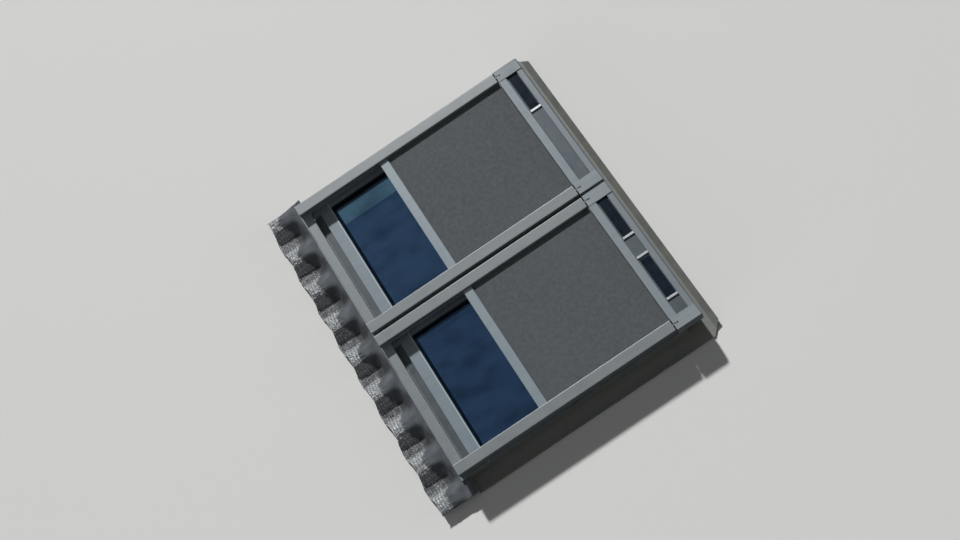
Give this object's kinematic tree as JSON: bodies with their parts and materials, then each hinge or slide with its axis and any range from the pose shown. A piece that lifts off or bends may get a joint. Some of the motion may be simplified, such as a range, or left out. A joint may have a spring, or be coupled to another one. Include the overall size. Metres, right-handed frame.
{
  "type": "roof skylight",
  "caption": "Coupled pair of centre-pivot roof windows in one flashing, with outside roller screens in hinged guide rails and a soft apron dressed over roof tiles.",
  "frame": {"origin": "centre of the footprint on the plane of the battens, which is the frames' underside", "axes": "+X along the eaves to the right as seen from the eaves, +Y up the slope to the ridge, +Z out of the roof"},
  "size_m": [1.738, 1.545, 0.172],
  "materials": {
    "pine_timber": "clear lacquered pine",
    "glass": "clear, slightly dark",
    "spacer_black": "matt black edge seal",
    "rail_aluminium": "satin grey paint",
    "end_casting": "satin grey paint",
    "cassette_aluminium": "satin blue grey paint",
    "cover_aluminium": "satin grey paint, weathered",
    "zinc_steel": "zinc plated",
    "shoe_nylon": "black nylon",
    "screen_cloth": "dark warm grey open weave",
    "roller_cloth": "dark warm grey open weave, wound on its tube",
    "control_bar_aluminium": "anodised",
    "solar_cell": "near black cell under glass",
    "apron_lead_grey": "dull dark grey soft sheet, dressed and pleated",
    "flashing_grey": "matt grey sheet"
  },
  "bodies": {
    "frame": {"apron": "apron_lead_grey", "centre_gutter": "flashing_grey", "head_flashing": "flashing_grey", "left_cassette_ends": "end_casting", "left_cassette_housing": "cassette_aluminium", "left_frame_head": "pine_timber", "left_frame_jamb_inner": "pine_timber", "left_frame_jamb_outer": "pine_timber", "left_frame_sill": "pine_timber", "left_jamb_covers": "cover_aluminium", "left_sill_cover": "cover_aluminium", "mounting_brackets": "zinc_steel", "pivot_plates": "zinc_steel", "right_cassette_ends": "end_casting", "right_cassette_housing": "cassette_aluminium", "right_frame_head": "pine_timber", "right_frame_jamb_inner": "pine_timber", "right_frame_jamb_outer": "pine_timber", "right_frame_sill": "pine_timber", "right_jamb_covers": "cover_aluminium", "right_sill_cover": "cover_aluminium", "side_flashing_left": "flashing_grey", "side_flashing_right": "flashing_grey", "solar_cells": "solar_cell"},
    "left_sash": {"left_sash_stile_outer": "pine_timber", "left_sash_stile_inner": "pine_timber", "left_sash_bottom_rail": "pine_timber", "left_sash_top_rail": "pine_timber", "left_glass_panes": "glass", "left_glass_spacer": "spacer_black", "left_sash_bottom_cover": "cover_aluminium", "left_sash_side_covers": "cover_aluminium", "left_sash_top_cover": "cover_aluminium", "left_pivot_pins": "zinc_steel", "left_slide_shoes": "shoe_nylon"},
    "left_guides": {"left_guide_rail_outer": "rail_aluminium", "left_guide_rail_inner": "rail_aluminium", "left_guide_cross_bar": "rail_aluminium", "left_screen_fabric": "screen_cloth"},
    "left_pull_bar": {"left_screen_bar": "rail_aluminium"},
    "left_roller": {"left_roller_tube": "roller_cloth"},
    "left_handle": {"left_control_bar": "control_bar_aluminium"},
    "right_sash": {"right_sash_stile_outer": "pine_timber", "right_sash_stile_inner": "pine_timber", "right_sash_bottom_rail": "pine_timber", "right_sash_top_rail": "pine_timber", "right_glass_panes": "glass", "right_glass_spacer": "spacer_black", "right_sash_bottom_cover": "cover_aluminium", "right_sash_side_covers": "cover_aluminium", "right_sash_top_cover": "cover_aluminium", "right_pivot_pins": "zinc_steel", "right_slide_shoes": "shoe_nylon"},
    "right_guides": {"right_guide_rail_outer": "rail_aluminium", "right_guide_rail_inner": "rail_aluminium", "right_guide_cross_bar": "rail_aluminium", "right_screen_fabric": "screen_cloth"},
    "right_pull_bar": {"right_screen_bar": "rail_aluminium"},
    "right_roller": {"right_roller_tube": "roller_cloth"},
    "right_handle": {"right_control_bar": "control_bar_aluminium"}
  },
  "joints": [
    {"name": "left_sash_pivot", "type": "hinge", "parent": "frame", "child": "left_sash", "pos_m": [-0.399, 0.0375, 0.062], "axis": [-1, 0, 0], "range_deg": [0, 45]},
    {"name": "left_guide_hinge", "type": "hinge", "parent": "frame", "child": "left_guides", "pos_m": [-0.399, 0.5955, 0.162], "axis": [-1, 0, 0], "range_deg": [0, 22.5]},
    {"name": "left_screen_slide", "type": "slide", "parent": "left_guides", "child": "left_pull_bar", "axis": [0, 1, 0], "range_m": [-0.41, 0.648], "deforming": ["left_screen_fabric"]},
    {"name": "left_roller_spin", "type": "hinge", "parent": "frame", "child": "left_roller", "pos_m": [-0.399, 0.6375, 0.128], "axis": [-1, 0, 0], "range_deg": [-1075, 1695]},
    {"name": "left_control_bar_hinge", "type": "hinge", "parent": "left_sash", "child": "left_handle", "pos_m": [-0.399, 0.5615, 0.027], "axis": [1, 0, 0], "range_deg": [0, 50]},
    {"name": "right_sash_pivot", "type": "hinge", "parent": "frame", "child": "right_sash", "pos_m": [0.399, 0.0375, 0.062], "axis": [-1, 0, 0], "range_deg": [0, 45]},
    {"name": "right_guide_hinge", "type": "hinge", "parent": "frame", "child": "right_guides", "pos_m": [0.399, 0.5955, 0.162], "axis": [-1, 0, 0], "range_deg": [0, 22.5]},
    {"name": "right_screen_slide", "type": "slide", "parent": "right_guides", "child": "right_pull_bar", "axis": [0, 1, 0], "range_m": [-0.41, 0.648], "deforming": ["right_screen_fabric"]},
    {"name": "right_roller_spin", "type": "hinge", "parent": "frame", "child": "right_roller", "pos_m": [0.399, 0.6375, 0.128], "axis": [-1, 0, 0], "range_deg": [-1075, 1695]},
    {"name": "right_control_bar_hinge", "type": "hinge", "parent": "right_sash", "child": "right_handle", "pos_m": [0.399, 0.5615, 0.027], "axis": [1, 0, 0], "range_deg": [0, 50]}
  ],
  "couplings": [
    {"joint": "left_guide_hinge", "follows": "left_sash_pivot", "ratio": 0.5},
    {"joint": "left_roller_spin", "follows": "left_screen_slide", "rad_per_m": 45.455},
    {"joint": "right_guide_hinge", "follows": "right_sash_pivot", "ratio": 0.5},
    {"joint": "right_roller_spin", "follows": "right_screen_slide", "rad_per_m": 45.455}
  ]
}
